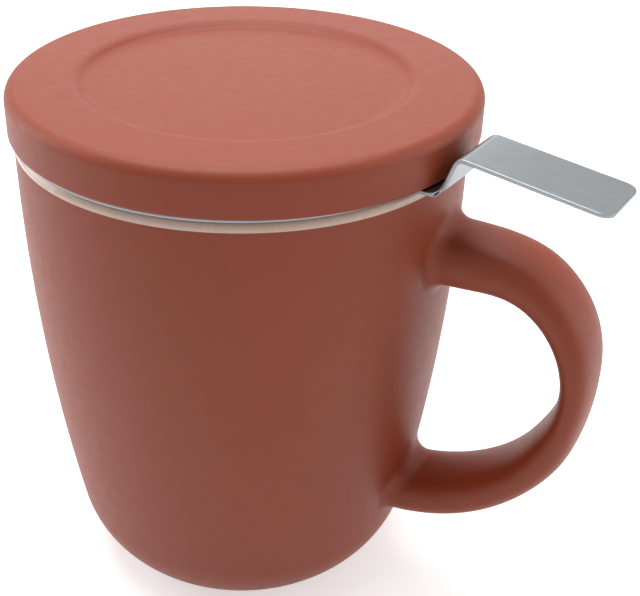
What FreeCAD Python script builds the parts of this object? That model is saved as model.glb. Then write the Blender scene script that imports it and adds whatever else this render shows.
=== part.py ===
# Lidded tea mug with a lift-out infuser.
#
# The mug stands on the plane Z = 0 with its axis on Z. The handle and the infuser's tab point along +X.
# Outlines are drawn in the XZ plane, with X as the radius, and turned about Z. Sizes are in millimetres.
import FreeCAD
import Part
import math
import os

V = FreeCAD.Vector
AXIS = V(0, 0, 1)

# Mug body
lip_z = 104.8               # height of the lip above the table
lip_r = 46.4                # outer radius just under the lip
lip_round = 1.5             # rounding on each side of the lip
body_wall = 3.8             # thickness of the side wall
wall_sweep_r = 488.0        # long radius of the side wall's gentle sweep
wall_upright_drop = 3.8     # depth below the lip at which the side wall stands upright
heel_r = 20.5               # outer rounding from the side wall into the foot
heel_top_z = 16.6           # height at which the heel meets the side wall
floor_z = 6.0               # height of the floor inside
floor_corner_r = 16.0       # inner rounding from the floor into the side wall
foot_inset = 1.0            # how far the foot stands back from the heel
foot_height = 0.8           # step between the foot and the heel
foot_width = 4.0            # width of the ring that stands on the table
foot_hollow = 1.2           # depth of the hollow inside that ring

# Cream liner glaze
glaze = 0.5                 # thickness of the coat
glaze_turn_down = 1.9       # how far the coat comes down outside the lip

# Handle
handle_drop = 18.3          # depth of the centre line below the lip where it leaves the body
handle_straight = 10.6      # straight part of the handle's top, measured from the lip's radius
handle_span = 29.1          # furthest reach of the centre line, measured from the lip's radius
handle_upper = 22.0         # depth from the straight top to that furthest point
handle_lower = 38.5         # depth from there to where the lower sweep would level out
handle_tail_in = 10.4       # how far inside the lip's radius it would level out
handle_width = 16.6         # across the strap
handle_grip = 6.4           # thickness of the strap at its furthest point
handle_top_root = 12.0      # thickness where it joins the body above
handle_low_root = 10.4      # thickness where it joins the body below
handle_squareness = 2.5     # exponent of the section: 2 is an ellipse, more is squarer
handle_fillet = 3.2         # rounding where the handle meets the body
handle_section_points = 16  # points round the section's curve
top_stations = 4            # sections along the upper quarter
tail_stations = 5           # sections along the lower quarter

# Infuser, drawn from stainless sheet
rim_sheet = 0.8             # sheet of the rim ring and tab
rim_past = 0.15             # how far the ring's edge stands out past the mug's lip
rim_ledge = 3.2             # how far the ring reaches in past the collar, as a ledge round the lid's ring
basket_sheet = 0.6          # sheet of the collar, wall and base
collar_gap = 1.2            # gap between the collar and the inside of the lip
collar_height = 6.5         # straight part of the collar under the ring
collar_turn_out = 1.0       # width of the collar's edge under the ring
neck_drop = 3.6             # height of the cone that necks in
neck_length = 4.7           # straight part of the neck below that cone
neck_in = 4.6               # how much narrower the basket wall is than the collar
wall_lap = 3.5              # overlap of the wall in the neck
base_lift = 30.0            # gap between the mug's floor and the basket's base
base_rim = 5.0              # height of the base's upturned rim
collar_edge_bend = 0.9      # bend radius under the ring, on the centre of the sheet
collar_bend = 1.6           # bend radius above and below the cone
base_bend = 1.3             # bend radius on the centre of the base's sheet

# Perforations
hole_d = 1.7                # diameter of each hole
hole_rows = 9               # rows up the wall
holes_round = 38            # holes in each row
hole_margin = 4.0           # plain sheet above and below the rows
seam_width = 7.0            # plain strip where the sheet's ends lap
base_rings = 4              # rings of holes in the base, round the one in the middle
base_ring_pitch = 7.2       # distance between those rings
base_ring_holes = 6         # holes in the first ring, and how many more each further ring has

# Tab
tab_turn = -7.75            # how far the infuser is turned about Z from the handle's plane, in degrees
tab_width = 14.2            # across the strip
tab_reach = 32.3            # how far the tab runs out past the lid
tab_fold = 1.7              # how far past the lid the strip folds up
tab_rise = 7.2              # how far the strip's upper bend stands above the ring
tab_lean = 19.8             # outward lean of the riser, in degrees
tab_droop = 6.0             # fall of the flat part towards its end, in degrees
tab_bend = 1.4              # bend radius where the strip folds up, on the centre of the sheet
tab_top_bend = 1.9          # bend radius at the top of the riser
tab_corner_r = 2.6          # plan rounding of the tab's outer corners
tab_flare = 2.0             # how far the strip spreads on each side where it leaves the ring
tab_flare_height = 2.6      # height above the ring at which the strip is back to its own width

# Lid
lid_overhang = 1.6          # how far the lid stands out past the lip
lid_height = 9.5            # from its seat to its top
lid_top_round = 2.4         # rounding of the upper edge
lid_low_round = 0.6         # rounding of the lower edge
lid_seat_inset = 1.8        # how far the face that sits on the infuser stays inside the lip
lid_undercut = 0.5          # how far the outer underside clears the seat
lid_roof = 4.6              # thickness of the ceiling under the recess
lid_border = 12.6           # width of the raised border round the recess on top
lid_recess_depth = 1.3      # depth of that recess
lid_recess_slope = 4.0      # width of its sloping edge
lid_shift = 0.75            # how far the lid rests off the mug's axis, towards the handle
spigot_gap = 1.1            # gap all round between the locating ring and the infuser's ledge
spigot_depth = 1.8          # how far the locating ring reaches below the seat
spigot_width = 3.4          # width of the locating ring
spigot_round = 0.9          # rounding of its lower edges
lid_roof_round = 3.0        # inner rounding between the locating ring and the ceiling

# Heights and radii that follow from the sizes above
lip_round_z = lip_z - lip_round
wall_upright_z = lip_z - wall_upright_drop
mouth_r = lip_r - body_wall
glaze_end_z = lip_z - glaze_turn_down
ring_r = lip_r + rim_past
ring_mid_z = lip_z + rim_sheet / 2
seat_z = lip_z + rim_sheet
collar_r = mouth_r - collar_gap
collar_inner_r = collar_r - basket_sheet
ledge_r = collar_inner_r - rim_ledge
neck_z = lip_z - collar_height - neck_drop
neck_end_z = neck_z - neck_length
wall_top_z = neck_end_z + wall_lap
base_z = floor_z + base_lift
basket_r = collar_r - neck_in
basket_inner_r = basket_r - basket_sheet
lid_r = lip_r + lid_overhang
lid_under_z = seat_z + lid_undercut
lid_top_z = seat_z + lid_height
handle_top_z = lip_z - handle_drop
handle_reach = lip_r + handle_span
handle_waist_z = handle_top_z - handle_upper
handle_tail_x = lip_r - handle_tail_in


def point(x, z):
    """A point in the XZ plane."""
    return V(x, 0, z)


def swung(vector, turn):
    """A vector of the XZ plane turned from +X towards +Z by an angle in radians."""
    c, s = math.cos(turn), math.sin(turn)
    return V(c * vector.x - s * vector.z, 0, s * vector.x + c * vector.z)


def arc(centre, radius, start, end):
    """Three points of an arc between two angles in radians."""
    return tuple(centre + swung(point(radius, 0), a) for a in (start, (start + end) / 2, end))


def wire(pieces):
    """One closed wire through pieces of an outline: a piece is one point, or three points of an arc."""
    edges = []
    for piece, following in zip(pieces, pieces[1:] + pieces[:1]):
        if len(piece) == 3:
            edges.append(Part.Arc(*piece).toShape())
        if (following[0] - piece[-1]).Length > 1e-6:
            edges.append(Part.LineSegment(piece[-1], following[0]).toShape())
    return Part.Wire(edges)


def backwards(pieces):
    """The same pieces of an outline, drawn the other way."""
    return [piece[::-1] for piece in pieces[::-1]]


def turned(pieces):
    """The solid of an outline turned once about Z."""
    return Part.Face(wire(pieces)).revolve(V(0, 0, 0), AXIS, 360)


def extruded(pieces, width):
    """The solid of an outline spread evenly to both sides of the XZ plane."""
    solid = Part.Face(wire(pieces)).extrude(V(0, width, 0))
    solid.translate(V(0, -width / 2, 0))
    return solid


def bent_sheet(corners, bends, sheet):
    """The outline of a sheet whose centre line runs through the corners, rounded there by the bend radii."""
    runs = [(b - a).normalize() for a, b in zip(corners, corners[1:])]
    normals = [swung(run, math.pi / 2) for run in runs]
    faces = []
    for offset in (sheet / 2, -sheet / 2):
        pieces = [(corners[0] + normals[0] * offset,)]
        for corner, before, after, normal, radius in zip(corners[1:], runs, runs[1:], normals, bends):
            turn = math.atan2(before.x * after.z - before.z * after.x, before.dot(after))
            reach = math.copysign(radius, turn)
            centre = corner - before * abs(reach * math.tan(turn / 2)) + normal * reach
            spoke = normal * (offset - reach)
            pieces.append(tuple(centre + swung(spoke, turn * share) for share in (0, 0.5, 1)))
        pieces.append((corners[-1] + normals[-1] * offset,))
        faces.append(pieces)
    return faces[0] + backwards(faces[1])


# The side wall is an arc of long radius, and the wall's inside is the same arc less the wall.
wall_centre_x = lip_r - math.sqrt(wall_sweep_r ** 2 - (lip_round_z - wall_upright_z) ** 2)
wall_centre = point(wall_centre_x, wall_upright_z)


def wall_angle(radius, z):
    """Where an arc about the wall's centre passes a height."""
    return math.asin((z - wall_upright_z) / radius)


def wall_x(radius, z):
    """The distance from Z at which an arc about the wall's centre passes a height."""
    return wall_centre.x + radius * math.cos(wall_angle(radius, z))


def lining(depth):
    """The cream surface, or a depth below it: from its edge outside, over the lip and down to the axis."""
    outer = wall_sweep_r - depth
    inner = wall_sweep_r - body_wall + depth
    round_r = lip_round - depth
    outer_lip = point(wall_x(outer, lip_round_z) - round_r, lip_round_z)
    inner_lip = point(wall_x(inner, lip_round_z) + round_r, lip_round_z)
    corner_z = floor_z + floor_corner_r
    corner_arm = wall_sweep_r - body_wall - floor_corner_r
    corner = point(wall_x(corner_arm, corner_z), corner_z)
    corner_angle = wall_angle(corner_arm, corner_z)
    return [
        arc(wall_centre, outer, wall_angle(outer, glaze_end_z), wall_angle(outer, lip_round_z)),
        arc(outer_lip, round_r, 0, math.pi / 2),
        arc(inner_lip, round_r, math.pi / 2, math.pi),
        arc(wall_centre, inner, wall_angle(inner, lip_round_z), corner_angle),
        arc(corner, floor_corner_r + depth, corner_angle, -math.pi / 2),
        (point(0, floor_z - depth),),
    ]


def outside():
    """The terracotta surface, from the axis under the foot up to the edge of the cream glaze."""
    heel_angle = wall_angle(wall_sweep_r, heel_top_z)
    heel = wall_centre + swung(point(wall_sweep_r - heel_r, 0), heel_angle)
    heel_start = -math.asin((heel.z - foot_height) / heel_r)
    foot_r = heel.x + heel_r * math.cos(heel_start) - foot_inset
    return [
        (point(0, foot_hollow),),
        (point(foot_r - foot_width, foot_hollow),),
        (point(foot_r - foot_width, 0),),
        (point(foot_r, 0),),
        (point(foot_r, foot_height),),
        arc(heel, heel_r, heel_start, heel_angle),
        arc(wall_centre, wall_sweep_r, heel_angle, wall_angle(wall_sweep_r, glaze_end_z)),
    ]


def mug_body():
    return turned(outside() + lining(glaze))


def liner_glaze():
    return turned(lining(0) + backwards(lining(glaze)))


def handle_section(centre, along, thickness):
    """A closed curve across the handle, between an ellipse and a rectangle."""
    across = swung(along, math.pi / 2)
    points = []
    for i in range(handle_section_points):
        a = 2 * math.pi * (i + 0.5) / handle_section_points
        flat = math.copysign(abs(math.cos(a)) ** (2 / handle_squareness), math.cos(a))
        side = math.copysign(abs(math.sin(a)) ** (2 / handle_squareness), math.sin(a))
        points.append(centre + across * (flat * thickness / 2) + V(0, side * handle_width / 2, 0))
    curve = Part.BSplineCurve()
    curve.interpolate(Points=points, PeriodicFlag=True)
    return Part.Wire(curve.toShape())


def handle_stations():
    """Centre, direction and thickness along the handle: a straight top, then two quarters of ellipses."""
    top_a = handle_span - handle_straight
    tail_a = handle_reach - handle_tail_x
    curve_length = math.pi / 2 * math.hypot(top_a, handle_upper) / math.sqrt(2)
    curve_share = curve_length / (curve_length + handle_straight)
    stations = [(point(handle_tail_x, handle_top_z), point(1, 0), handle_top_root)]
    stations.append((point(lip_r, handle_top_z), point(1, 0), handle_top_root))
    for i in range(top_stations + 1):
        a = math.pi / 2 * (1 - i / top_stations)
        share = curve_share * (1 - i / top_stations)
        shoulder_x = handle_reach - top_a
        centre = point(shoulder_x + top_a * math.cos(a), handle_waist_z + handle_upper * math.sin(a))
        along = point(top_a * math.sin(a), -handle_upper * math.cos(a)).normalize()
        stations.append((centre, along, handle_grip + (handle_top_root - handle_grip) * share))
    for i in range(1, tail_stations + 1):
        a = -math.pi / 2 * i / tail_stations
        centre = point(handle_tail_x + tail_a * math.cos(a), handle_waist_z + handle_lower * math.sin(a))
        along = point(tail_a * math.sin(a), -handle_lower * math.cos(a)).normalize()
        stations.append((centre, along, handle_grip + (handle_low_root - handle_grip) * i / tail_stations))
    return stations


def mug_handle():
    strap = Part.makeLoft([handle_section(*station) for station in handle_stations()], True)
    core = turned(outside() + [(point(0, glaze_end_z),)])
    joined = core.fuse(strap)
    seams = [e for e in joined.Edges if e.BoundBox.XMin > 0 and e.BoundBox.YLength < 2 * handle_width
             and on_both(e, core, strap)]
    return joined.makeFillet(handle_fillet, seams).cut(core)


def on_both(edge, first, second):
    """Whether the middle of an edge lies on the skin of both solids."""
    middle = Part.Vertex(edge.valueAt((edge.FirstParameter + edge.LastParameter) / 2))
    return all(middle.distToShape(shell)[0] < 1e-3 for solid in (first, second) for shell in solid.Shells)


def tab():
    """The strip that leaves the ring under the lid, folds up beside it and runs out above the handle."""
    fold = point(lid_r + tab_fold, ring_mid_z)
    top = fold + point(tab_rise * math.tan(math.radians(tab_lean)), tab_rise)
    end_x = lid_r + tab_reach
    end = point(end_x, top.z - (end_x - top.x) * math.tan(math.radians(tab_droop)))
    path = [point(collar_r, ring_mid_z), fold, top, end]
    full_width = tab_width + 2 * tab_flare
    strip = extruded(bent_sheet(path, [tab_bend, tab_top_bend], rim_sheet), full_width)

    # Seen along the tab, each side of the strip runs in from its full width on a hollow arc.
    flare_r = (tab_flare ** 2 + tab_flare_height ** 2) / (2 * tab_flare)
    sweep = math.asin(tab_flare_height / flare_r)
    side = [
        (point(full_width / 2, lip_z - rim_sheet),),
        arc(point(tab_width / 2 + flare_r, seat_z + tab_flare_height), flare_r, sweep - math.pi, -math.pi),
        (point(tab_width / 2, lid_top_z),),
    ]
    other_side = [tuple(point(-p.x, p.z) for p in piece) for piece in backwards(side)]
    front = Part.Face(wire(side + other_side)).extrude(V(0, 2 * end_x, 0))
    front.rotate(V(0, 0, 0), AXIS, -90)
    strip = strip.common(front)
    corners = [e for e in strip.Edges if e.BoundBox.XMin > end_x - rim_sheet and e.BoundBox.YLength < 1e-6]
    strip = strip.makeFillet(tab_corner_r, corners)
    strip.rotate(V(0, 0, 0), AXIS, tab_turn)
    return strip


def infuser_rim():
    half = rim_sheet / 2
    ring = turned([
        (point(ledge_r, lip_z),),
        arc(point(ring_r - half, ring_mid_z), half, -math.pi / 2, math.pi / 2),
        (point(ledge_r, seat_z),),
    ])
    return ring.fuse(tab()).removeSplitter()


def infuser_collar():
    collar_mid = collar_r - basket_sheet / 2
    neck_mid = basket_r + basket_sheet / 2
    edge_z = lip_z - basket_sheet / 2
    path = [
        point(collar_r + collar_turn_out, edge_z),
        point(collar_mid, edge_z),
        point(collar_mid, lip_z - collar_height),
        point(neck_mid, neck_z),
        point(neck_mid, neck_end_z),
    ]
    return turned(bent_sheet(path, [collar_edge_bend, collar_bend, collar_bend], basket_sheet))


def wall_holes():
    """Staggered rows of pins round the wall, leaving a plain strip opposite the tab where the sheet laps."""
    low = base_z + base_rim + hole_margin
    high = neck_end_z - hole_margin
    seam = seam_width / basket_r
    pitch = (2 * math.pi - seam) / holes_round
    pins = []
    for row in range(hole_rows):
        z = low + (high - low) * row / (hole_rows - 1)
        stagger = 0.25 + 0.5 * (row % 2)
        for i in range(holes_round):
            a = math.pi + seam / 2 + (i + stagger) * pitch
            out = V(math.cos(a), math.sin(a), 0)
            foot = out * (basket_inner_r - basket_sheet) + V(0, 0, z)
            pins.append(Part.makeCylinder(hole_d / 2, 3 * basket_sheet, foot, out))
    return Part.makeCompound(pins)


def infuser_wall():
    sheet = turned([
        (point(basket_inner_r, base_z),),
        (point(basket_r, base_z),),
        (point(basket_r, wall_top_z),),
        (point(basket_inner_r, wall_top_z),),
    ])
    return sheet.cut(wall_holes())


def infuser_base():
    rim_mid = basket_inner_r - basket_sheet / 2
    mid_z = base_z + basket_sheet / 2
    path = [point(0, mid_z), point(rim_mid, mid_z), point(rim_mid, base_z + base_rim)]
    cap = turned(bent_sheet(path, [base_bend], basket_sheet))
    pins = []
    for ring in range(base_rings + 1):
        holes = max(1, base_ring_holes * ring)
        for i in range(holes):
            a = 2 * math.pi * i / holes
            place = V(math.cos(a), math.sin(a), 0) * (ring * base_ring_pitch)
            foot = place + V(0, 0, base_z - basket_sheet)
            pins.append(Part.makeCylinder(hole_d / 2, 3 * basket_sheet, foot))
    return cap.cut(Part.makeCompound(pins))


def lid_body():
    recess_z = lid_top_z - lid_recess_depth
    sweep_r = (lid_recess_slope ** 2 + lid_recess_depth ** 2) / (4 * lid_recess_depth)
    sweep = math.asin(lid_recess_slope / (2 * sweep_r))
    recess_r = lid_r - lid_border
    spigot_r = ledge_r - spigot_gap
    spigot_inner_r = spigot_r - spigot_width
    spigot_z = seat_z - spigot_depth
    ceiling_z = recess_z - lid_roof
    down = -math.pi / 2
    solid = turned([
        (point(0, recess_z),),
        arc(point(recess_r - lid_recess_slope, recess_z + sweep_r), sweep_r, down, down + sweep),
        arc(point(recess_r, lid_top_z - sweep_r), sweep_r, math.pi / 2 + sweep, math.pi / 2),
        arc(point(lid_r - lid_top_round, lid_top_z - lid_top_round), lid_top_round, math.pi / 2, 0),
        arc(point(lid_r - lid_low_round, lid_under_z + lid_low_round), lid_low_round, 0, down),
        (point(lip_r - lid_seat_inset, lid_under_z),),
        (point(lip_r - lid_seat_inset, seat_z),),
        (point(spigot_r, seat_z),),
        arc(point(spigot_r - spigot_round, spigot_z + spigot_round), spigot_round, 0, down),
        arc(point(spigot_inner_r + spigot_round, spigot_z + spigot_round), spigot_round, down, -math.pi),
        arc(point(spigot_inner_r - lid_roof_round, ceiling_z - lid_roof_round), lid_roof_round, 0, -down),
        (point(0, ceiling_z),),
    ])
    solid.translate(point(lid_shift, 0))
    return solid


PARTS = [mug_body, liner_glaze, mug_handle, infuser_rim, infuser_collar, infuser_wall, infuser_base, lid_body]

os.makedirs("parts", exist_ok=True)
for make in PARTS:
    solid = make()
    if not solid.isValid() or len(solid.Solids) != 1:
        raise ValueError(make.__name__ + " is not one valid solid")
    solid.exportStep("parts/" + make.__name__ + ".step")
    print(make.__name__, "volume", round(solid.Volume), "mm3")
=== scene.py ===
"""Looks of a lidded tea mug with a lift-out infuser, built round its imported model."""

import math

import bmesh
import bpy
from mathutils import Matrix, Vector


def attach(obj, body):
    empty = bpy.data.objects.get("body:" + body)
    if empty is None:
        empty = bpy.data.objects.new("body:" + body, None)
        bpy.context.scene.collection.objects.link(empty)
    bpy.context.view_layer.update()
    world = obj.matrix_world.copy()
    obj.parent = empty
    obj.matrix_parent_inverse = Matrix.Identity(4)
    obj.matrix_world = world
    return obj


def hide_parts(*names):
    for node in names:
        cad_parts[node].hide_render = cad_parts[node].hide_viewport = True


bl_info = {
    "name": "Lidded infuser mug",
    "version": (1, 0, 0),
    "blender": (4, 5, 0),
    "location": "3D View > Sidebar > Mug",
    "description": "Builds a stoneware mug with its lid, its steel infuser and a plain studio round them",
    "category": "Add Mesh",
}

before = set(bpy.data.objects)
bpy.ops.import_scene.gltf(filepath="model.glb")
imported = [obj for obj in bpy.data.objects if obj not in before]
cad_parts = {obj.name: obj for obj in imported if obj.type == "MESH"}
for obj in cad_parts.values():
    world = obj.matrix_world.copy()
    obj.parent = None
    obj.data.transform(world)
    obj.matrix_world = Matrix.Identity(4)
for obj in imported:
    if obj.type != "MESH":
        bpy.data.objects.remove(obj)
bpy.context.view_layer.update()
MM = 0.001

# Facets round turned pieces, angles at which shading breaks, and how near points are merged, in metres
SEGMENTS, FINE_SEGMENTS = 256, 288
CREASE, SHARP = math.radians(32), math.radians(40)
WELD, CELL_WELD = 2e-6, 5e-6
# Height of a row of staggered holes, in pitches
ROW_STEP = math.sqrt(0.75)
# Cells to the metre of the noise in the finishes
TONE, GRAIN, DIMPLE = 30.0, 1900.0, 420.0
POOLING, RIPPLE = 60.0, 260.0
ROLLING, SMUDGE = 3800.0, 70.0
# Each lamp's place in metres, its width and height in metres, and its power in watts
LAMPS = {
    "top_softbox": ((-0.10, 0.08, 0.75), (0.6, 0.6), 5.2),
    "back_softbox": ((-0.38, 0.66, 0.36), (0.7, 0.3), 0.5),
    "left_softbox": ((-0.75, -0.15, 0.30), (0.35, 0.7), 2.3),
    "right_softbox": ((0.65, 0.25, 0.32), (0.35, 0.7), 1.3),
}
LAMP_AIM = (0.0, 0.0, 0.06)


def length(name, description, default_mm):
    """A size in millimetres as a length property."""
    return bpy.props.FloatProperty(name=name, description=description, default=default_mm * MM,
                                   min=0.0, precision=5, unit="LENGTH")


def colour(name, description, default):
    """A surface colour, in linear light."""
    return bpy.props.FloatVectorProperty(name=name, description=description, default=default,
                                         size=3, min=0.0, max=1.0, subtype="COLOR")


def number(name, description, default):
    """A plain number as a property."""
    return bpy.props.FloatProperty(name=name, description=description, default=default)


def angle(name, description, degrees):
    """An angle in degrees as an angle property."""
    return bpy.props.FloatProperty(name=name, description=description, default=math.radians(degrees),
                                   subtype="ANGLE")


class MugSizes(bpy.types.PropertyGroup):
    lip_z: length("Lip height", "Height of the lip above the table", 104.8)
    lip_r: length("Lip radius", "Outer radius just under the lip", 46.4)
    lip_round: length("Lip rounding", "Rounding on each side of the lip", 1.5)
    wall: length("Wall", "Thickness of the side wall", 3.8)
    sweep_r: length("Wall sweep", "Long radius of the side wall's gentle sweep", 488.0)
    upright_drop: length("Upright depth", "Depth below the lip at which the wall stands upright", 3.8)
    heel_r: length("Heel", "Outer rounding from the side wall into the foot", 20.5)
    heel_top_z: length("Heel height", "Height at which the heel meets the side wall", 16.6)
    floor_z: length("Floor height", "Height of the floor inside", 6.0)
    floor_corner_r: length("Floor corner", "Inner rounding from the floor into the wall", 16.0)
    foot_inset: length("Foot inset", "How far the foot stands back from the heel", 1.0)
    foot_height: length("Foot height", "Step between the foot and the heel", 0.8)
    foot_width: length("Foot width", "Width of the ring that stands on the table", 4.0)
    foot_hollow: length("Foot hollow", "Depth of the hollow inside that ring", 1.2)
    foot_edge: length("Foot edge", "Rounding of the foot ring's edges", 0.35)
    glaze: length("Glaze", "Thickness of the cream glaze", 0.5)
    glaze_drop: length("Glaze turn-down", "How far the cream glaze comes down outside the lip", 1.9)


class InfuserSizes(bpy.types.PropertyGroup):
    sheet: length("Rim sheet", "Sheet of the rim ring and tab", 0.8)
    rim_past: length("Ring edge", "How far the ring's edge stands out past the lip", 0.15)
    ledge: length("Ledge", "How far the ring reaches in past the collar", 3.2)
    basket_sheet: length("Basket sheet", "Sheet of the collar, wall and base", 0.6)
    collar_gap: length("Collar gap", "Gap between the collar and the inside of the lip", 1.2)
    collar_height: length("Collar height", "Straight part of the collar under the ring", 6.5)
    turn_out: length("Collar edge", "Width of the collar's edge under the ring", 1.0)
    neck_drop: length("Neck drop", "Height of the cone that necks in", 3.6)
    neck_length: length("Neck length", "Straight part of the neck below the cone", 4.7)
    neck_in: length("Neck in", "How much narrower the basket wall is than the collar", 4.6)
    wall_lap: length("Wall lap", "Overlap of the wall in the neck", 3.5)
    base_lift: length("Base lift", "Gap between the mug's floor and the basket's base", 30.0)
    base_rim: length("Base rim", "Height of the base's upturned rim", 5.0)
    edge_bend: length("Edge bend", "Bend radius under the ring", 0.9)
    collar_bend: length("Collar bend", "Bend radius above and below the cone", 1.6)
    base_bend: length("Base bend", "Bend radius of the base's sheet", 1.3)
    hole_d: length("Hole", "Diameter of each hole", 1.0)
    hole_pitch: length("Hole pitch", "Distance between the centres of neighbouring holes", 1.9)
    hole_margin: length("Hole margin", "Plain sheet above and below the holes", 3.0)
    seam: length("Seam", "Plain strip where the sheet's ends lap", 7.0)
    base_plain: length("Plain edge", "Plain sheet round the holes of the base", 3.5)


class TabSizes(bpy.types.PropertyGroup):
    turn: angle("Turn", "How far the infuser is turned about Z from the handle's plane", -7.75)
    width: length("Width", "Across the strip", 14.2)
    reach: length("Reach", "How far the tab runs out past the lid", 32.3)
    fold: length("Fold", "How far past the lid the strip folds up", 1.7)
    rise: length("Rise", "How far the upper bend stands above the ring", 7.2)
    lean: angle("Lean", "Outward lean of the riser", 19.8)
    droop: angle("Droop", "Fall of the flat part towards its end", 6.0)
    bend: length("Bend", "Bend radius where the strip folds up", 1.4)
    top_bend: length("Top bend", "Bend radius at the top of the riser", 1.9)
    corner_r: length("Corner", "Plan rounding of the outer corners", 2.6)
    flare: length("Flare", "How far the strip spreads on each side where it leaves the ring", 2.0)
    flare_height: length("Flare height", "Height over the ring where the strip is back to its own width", 2.6)
    edge: length("Edge", "Rounding of the sheet's edge", 0.22)
    proud: length("Proud", "How far the strip's faces stand above the ring's, so they never meet", 0.015)


class LidSizes(bpy.types.PropertyGroup):
    overhang: length("Overhang", "How far the lid stands out past the lip", 1.6)
    height: length("Height", "From its seat to its top", 9.5)
    top_round: length("Upper edge", "Rounding of the upper edge", 2.4)
    low_round: length("Lower edge", "Rounding of the lower edge", 0.6)
    seat_inset: length("Seat inset", "How far the seat stays inside the lip", 1.8)
    undercut: length("Undercut", "How far the outer underside clears the seat", 0.5)
    roof: length("Roof", "Thickness under the recess", 4.6)
    border: length("Border", "Width of the raised border round the recess", 12.6)
    recess: length("Recess depth", "Depth of the recess on top", 1.3)
    slope: length("Recess slope", "Width of the recess's sloping edge", 4.0)
    shift: length("Shift", "How far the lid rests off the mug's axis, towards the handle", 0.75)
    spigot_gap: length("Spigot gap", "Gap all round between the locating ring and the ledge", 1.1)
    spigot_depth: length("Spigot depth", "How far the locating ring reaches below the seat", 1.8)
    spigot_width: length("Spigot width", "Width of the locating ring", 3.4)
    spigot_round: length("Spigot rounding", "Rounding of its lower edges", 0.9)
    roof_round: length("Roof rounding", "Inner rounding between the locating ring and the roof", 3.0)


class Finishes(bpy.types.PropertyGroup):
    terracotta: colour("Terracotta", "Matt glaze of the mug and lid", (0.256, 0.041, 0.014))
    terracotta_deep: colour("Deep terracotta", "The same glaze where it lies thick", (0.244, 0.039, 0.013))
    bare_clay: colour("Bare clay", "Unglazed foot ring", (0.50, 0.36, 0.25))
    cream: colour("Cream", "Gloss glaze inside and over the lip", (0.62, 0.46, 0.385))
    steel: colour("Steel", "Stainless sheet", (0.262, 0.281, 0.296))
    floor: colour("Floor", "Studio floor", (0.90, 0.90, 0.90))


class StageSettings(bpy.types.PropertyGroup):
    eye: bpy.props.FloatVectorProperty(name="Eye", description="Where the camera stands", size=3,
                                       default=(0.10117, -0.17523, 0.18835), subtype="TRANSLATION",
                                       unit="LENGTH")
    turn: bpy.props.FloatVectorProperty(name="Turn", description="How the camera is turned", size=3,
                                        default=tuple(map(math.radians, (63.117, -0.873, 27.634))),
                                        subtype="EULER", unit="ROTATION")
    lens: number("Lens", "Focal length in millimetres", 59.21)
    shift_x: number("Shift X", "Sideways shift of the picture", 0.0470)
    shift_y: number("Shift Y", "Upward shift of the picture", -0.1532)
    floor_glow: number("Floor glow", "White added to the floor where it is seen", 0.52)
    daylight: number("Daylight", "Light from all round", 0.41)
    backdrop: number("Backdrop", "White added to that light where it is seen", 0.59)


GROUPS = {"mug_sizes": MugSizes, "infuser_sizes": InfuserSizes, "tab_sizes": TabSizes, "lid_sizes": LidSizes,
          "mug_finishes": Finishes, "mug_stage": StageSettings}


# Outlines in the XZ plane

def point(x, z):
    return Vector((x, 0.0, z))


def swung(vector, turn):
    """A vector of the XZ plane turned from +X towards +Z."""
    c, s = math.cos(turn), math.sin(turn)
    return point(c * vector.x - s * vector.z, s * vector.x + c * vector.z)


def arc(centre, radius, start, end, step=math.radians(5)):
    """Points along an arc between two angles, close enough to look round."""
    chord = min(step, 1.2 * MM / radius)
    count = max(2, math.ceil(abs(end - start) / max(chord, math.radians(0.15))))
    return [centre + swung(point(radius, 0), start + (end - start) * i / count) for i in range(count + 1)]


def run(a, b, step=3 * MM):
    """Points from a to b, without b."""
    count = max(1, math.ceil((b - a).length / step))
    return [a.lerp(b, i / count) for i in range(count)]


def bent(corners, bends):
    """Points and directions along a line through the corners, rounded there by the bend radii."""
    runs = [(b - a).normalized() for a, b in zip(corners, corners[1:])]
    places, directions = [], []
    start = corners[0]
    for corner, before, after, radius in zip(corners[1:], runs, runs[1:], bends):
        turn = math.atan2(before.x * after.z - before.z * after.x, before.dot(after))
        reach = math.copysign(radius, turn)
        first = corner - before * abs(reach * math.tan(turn / 2))
        centre = first + swung(before, math.pi / 2) * reach
        for place in run(start, first):
            places.append(place)
            directions.append(before)
        steps = max(4, math.ceil(abs(turn) / math.radians(9)))
        for i in range(steps + 1):
            share = turn * i / steps
            places.append(centre + swung(first - centre, share))
            directions.append(swung(before, share))
        start = places[-1]
        places.pop()
        directions.pop()
    for place in run(start, corners[-1]):
        places.append(place)
        directions.append(runs[-1])
    places.append(corners[-1])
    directions.append(runs[-1])
    return places, directions


def sheet_outline(corners, bends, sheet):
    """The closed outline of a bent sheet, with its faces on both sides of the line."""
    places, directions = bent(corners, bends)
    sides = [swung(d, math.pi / 2) * (sheet / 2) for d in directions]
    left = [p + s for p, s in zip(places, sides)]
    right = [p - s for p, s in zip(places, sides)]
    outline = right + left[::-1]
    return outline + [outline[0]]


# The turned parts' outlines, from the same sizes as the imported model

def wall_centre(s):
    round_z = s.lip_z - s.lip_round
    upright_z = s.lip_z - s.upright_drop
    return point(s.lip_r - math.sqrt(s.sweep_r ** 2 - (round_z - upright_z) ** 2), upright_z)


def wall_angle(s, radius, z):
    return math.asin((z - wall_centre(s).z) / radius)


def wall_x(s, radius, z):
    return wall_centre(s).x + radius * math.cos(wall_angle(s, radius, z))


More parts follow.
